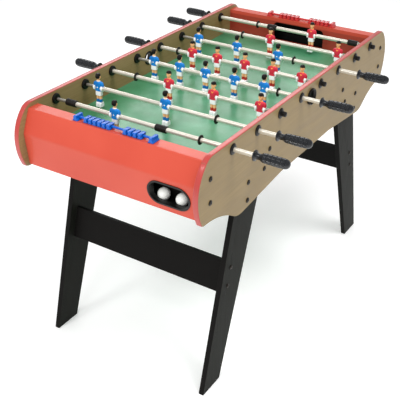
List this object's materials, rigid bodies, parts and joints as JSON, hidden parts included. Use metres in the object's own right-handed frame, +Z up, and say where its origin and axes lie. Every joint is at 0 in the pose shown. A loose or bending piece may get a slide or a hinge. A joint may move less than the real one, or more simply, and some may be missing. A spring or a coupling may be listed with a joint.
{
  "type": "foosball table",
  "caption": "Foosball table with a curved-end cabinet on splayed board legs, telescopic rods with moulded players, bead scorers and ball returns.",
  "frame": {"origin": "on the floor, under the middle of the cabinet, midway between the four feet", "axes": "+Z up; +X along the rods, towards the right side panel; +Y along the playfield, from the near end to the far end"},
  "size_m": [0.906, 1.236, 0.817],
  "materials": {
    "woodgrain_board": "satin printed wood-grain laminate",
    "red_banding": "gloss edge banding",
    "green_board": "gloss printed board",
    "red_board": "gloss laminate on folded board",
    "dark_red_board": "gloss laminate",
    "black_moulding": "moulded black plastic",
    "black_board": "satin black laminate",
    "black_steel": "blackened steel",
    "scorer_moulding": "moulded plastic, blue at one end and red at the other",
    "blue_moulding": "moulded blue plastic",
    "red_moulding": "moulded red plastic",
    "white_ball": "white plastic",
    "guide_steel": "bright steel rod, black end cap and stop ring",
    "chromed_tube": "chromed steel tube",
    "blue_player": "painted moulded players in blue shirts",
    "red_player": "painted moulded players in red shirts",
    "black_grip": "ribbed black plastic",
    "black_rubber": "soft black rubber"
  },
  "bodies": {
    "cabinet": {"right_side_panel": "woodgrain_board", "left_side_panel": "woodgrain_board", "edge_trims": "red_banding", "playfield": "green_board", "near_end_panel": "red_board", "far_end_panel": "red_board", "goal_walls": "dark_red_board", "goal_pockets": "black_moulding", "ball_returns": "black_moulding", "ball_entry_cups": "black_moulding", "legs": "black_board", "leg_rails": "black_board", "bolts": "black_steel", "rod_bearings": "black_moulding", "score_rails": "scorer_moulding"},
    "guide_1": {"guide_rod_1": "guide_steel"},
    "rod_1": {"rod_tube_1": "chromed_tube", "men_1": "blue_player", "handle_1": "black_grip"},
    "bumper_1": {"bumper_1": "black_rubber"},
    "guide_2": {"guide_rod_2": "guide_steel"},
    "rod_2": {"rod_tube_2": "chromed_tube", "men_2": "blue_player", "handle_2": "black_grip"},
    "bumper_2": {"bumper_2": "black_rubber"},
    "guide_3": {"guide_rod_3": "guide_steel"},
    "rod_3": {"rod_tube_3": "chromed_tube", "men_3": "red_player", "handle_3": "black_grip"},
    "bumper_3": {"bumper_3": "black_rubber"},
    "guide_4": {"guide_rod_4": "guide_steel"},
    "rod_4": {"rod_tube_4": "chromed_tube", "men_4": "blue_player", "handle_4": "black_grip"},
    "bumper_4": {"bumper_4": "black_rubber"},
    "guide_5": {"guide_rod_5": "guide_steel"},
    "rod_5": {"rod_tube_5": "chromed_tube", "men_5": "red_player", "handle_5": "black_grip"},
    "bumper_5": {"bumper_5": "black_rubber"},
    "guide_6": {"guide_rod_6": "guide_steel"},
    "rod_6": {"rod_tube_6": "chromed_tube", "men_6": "blue_player", "handle_6": "black_grip"},
    "bumper_6": {"bumper_6": "black_rubber"},
    "guide_7": {"guide_rod_7": "guide_steel"},
    "rod_7": {"rod_tube_7": "chromed_tube", "men_7": "red_player", "handle_7": "black_grip"},
    "bumper_7": {"bumper_7": "black_rubber"},
    "guide_8": {"guide_rod_8": "guide_steel"},
    "rod_8": {"rod_tube_8": "chromed_tube", "men_8": "red_player", "handle_8": "black_grip"},
    "bumper_8": {"bumper_8": "black_rubber"},
    "blue_beads_left": {"blue_beads_left": "blue_moulding"},
    "blue_beads_right": {"blue_beads_right": "blue_moulding"},
    "red_beads_left": {"red_beads_left": "red_moulding"},
    "red_beads_right": {"red_beads_right": "red_moulding"},
    "balls": {"balls": "white_ball"}
  },
  "joints": [
    {"name": "spin_1", "type": "hinge", "parent": "cabinet", "child": "guide_1", "pos_m": [0, -0.455, 0.771], "axis": [1, 0, 0], "continuous": true},
    {"name": "slide_1", "type": "slide", "parent": "guide_1", "child": "rod_1", "axis": [1, 0, 0], "range_m": [-0.031, 0.174]},
    {"name": "bumper_slide_1", "type": "slide", "parent": "cabinet", "child": "bumper_1", "axis": [1, 0, 0], "range_m": [-0.0128, 0.07139]},
    {"name": "spin_2", "type": "hinge", "parent": "cabinet", "child": "guide_2", "pos_m": [0, -0.325, 0.771], "axis": [1, 0, 0], "continuous": true},
    {"name": "slide_2", "type": "slide", "parent": "guide_2", "child": "rod_2", "axis": [1, 0, 0], "range_m": [-0.024, 0.251]},
    {"name": "bumper_slide_2", "type": "slide", "parent": "cabinet", "child": "bumper_2", "axis": [1, 0, 0], "range_m": [-0.00988, 0.10241]},
    {"name": "spin_3", "type": "hinge", "parent": "cabinet", "child": "guide_3", "pos_m": [0, -0.195, 0.771], "axis": [1, 0, 0], "continuous": true},
    {"name": "slide_3", "type": "slide", "parent": "guide_3", "child": "rod_3", "axis": [-1, 0, 0], "range_m": [-0.018, 0.187]},
    {"name": "bumper_slide_3", "type": "slide", "parent": "cabinet", "child": "bumper_3", "axis": [-1, 0, 0], "range_m": [-0.0084, 0.08636]},
    {"name": "spin_4", "type": "hinge", "parent": "cabinet", "child": "guide_4", "pos_m": [0, -0.065, 0.771], "axis": [1, 0, 0], "continuous": true},
    {"name": "slide_4", "type": "slide", "parent": "guide_4", "child": "rod_4", "axis": [1, 0, 0], "range_m": [-0.04, 0.078]},
    {"name": "bumper_slide_4", "type": "slide", "parent": "cabinet", "child": "bumper_4", "axis": [1, 0, 0], "range_m": [-0.02583, 0.05028]},
    {"name": "spin_5", "type": "hinge", "parent": "cabinet", "child": "guide_5", "pos_m": [0, 0.065, 0.771], "axis": [1, 0, 0], "continuous": true},
    {"name": "slide_5", "type": "slide", "parent": "guide_5", "child": "rod_5", "axis": [-1, 0, 0], "range_m": [-0.018, 0.101]},
    {"name": "bumper_slide_5", "type": "slide", "parent": "cabinet", "child": "bumper_5", "axis": [-1, 0, 0], "range_m": [-0.01172, 0.06528]},
    {"name": "spin_6", "type": "hinge", "parent": "cabinet", "child": "guide_6", "pos_m": [0, 0.195, 0.771], "axis": [1, 0, 0], "continuous": true},
    {"name": "slide_6", "type": "slide", "parent": "guide_6", "child": "rod_6", "axis": [1, 0, 0], "range_m": [-0.042, 0.168]},
    {"name": "bumper_slide_6", "type": "slide", "parent": "cabinet", "child": "bumper_6", "axis": [1, 0, 0], "range_m": [-0.03263, 0.13022]},
    {"name": "spin_7", "type": "hinge", "parent": "cabinet", "child": "guide_7", "pos_m": [0, 0.325, 0.771], "axis": [1, 0, 0], "continuous": true},
    {"name": "slide_7", "type": "slide", "parent": "guide_7", "child": "rod_7", "axis": [-1, 0, 0], "range_m": [-0.015, 0.251]},
    {"name": "bumper_slide_7", "type": "slide", "parent": "cabinet", "child": "bumper_7", "axis": [-1, 0, 0], "range_m": [-0.00979, 0.16227]},
    {"name": "spin_8", "type": "hinge", "parent": "cabinet", "child": "guide_8", "pos_m": [0, 0.455, 0.771], "axis": [1, 0, 0], "continuous": true},
    {"name": "slide_8", "type": "slide", "parent": "guide_8", "child": "rod_8", "axis": [-1, 0, 0], "range_m": [-0.015, 0.19]},
    {"name": "bumper_slide_8", "type": "slide", "parent": "cabinet", "child": "bumper_8", "axis": [-1, 0, 0], "range_m": [-0.01203, 0.15121]},
    {"name": "blue_beads_left_slide", "type": "slide", "parent": "cabinet", "child": "blue_beads_left", "axis": [1, 0, 0], "range_m": [-0.0175, 0.02]},
    {"name": "blue_beads_right_slide", "type": "slide", "parent": "cabinet", "child": "blue_beads_right", "axis": [1, 0, 0], "range_m": [-0.02, 0.0215]},
    {"name": "red_beads_left_slide", "type": "slide", "parent": "cabinet", "child": "red_beads_left", "axis": [1, 0, 0], "range_m": [-0.0295, 0.02]},
    {"name": "red_beads_right_slide", "type": "slide", "parent": "cabinet", "child": "red_beads_right", "axis": [1, 0, 0], "range_m": [-0.02, 0.0055]},
    {"name": "balls_roll", "type": "slide", "parent": "cabinet", "child": "balls", "axis": [1, 0, 0], "range_m": [-0.0035, 0.0235]}
  ],
  "couplings": [
    {"joint": "bumper_slide_1", "follows": "slide_1", "ratio": 0.4097},
    {"joint": "bumper_slide_2", "follows": "slide_2", "ratio": 0.4076},
    {"joint": "bumper_slide_3", "follows": "slide_3", "ratio": 0.4613},
    {"joint": "bumper_slide_4", "follows": "slide_4", "ratio": 0.6433},
    {"joint": "bumper_slide_5", "follows": "slide_5", "ratio": 0.6453},
    {"joint": "bumper_slide_6", "follows": "slide_6", "ratio": 0.7745},
    {"joint": "bumper_slide_7", "follows": "slide_7", "ratio": 0.6461},
    {"joint": "bumper_slide_8", "follows": "slide_8", "ratio": 0.7953}
  ]
}
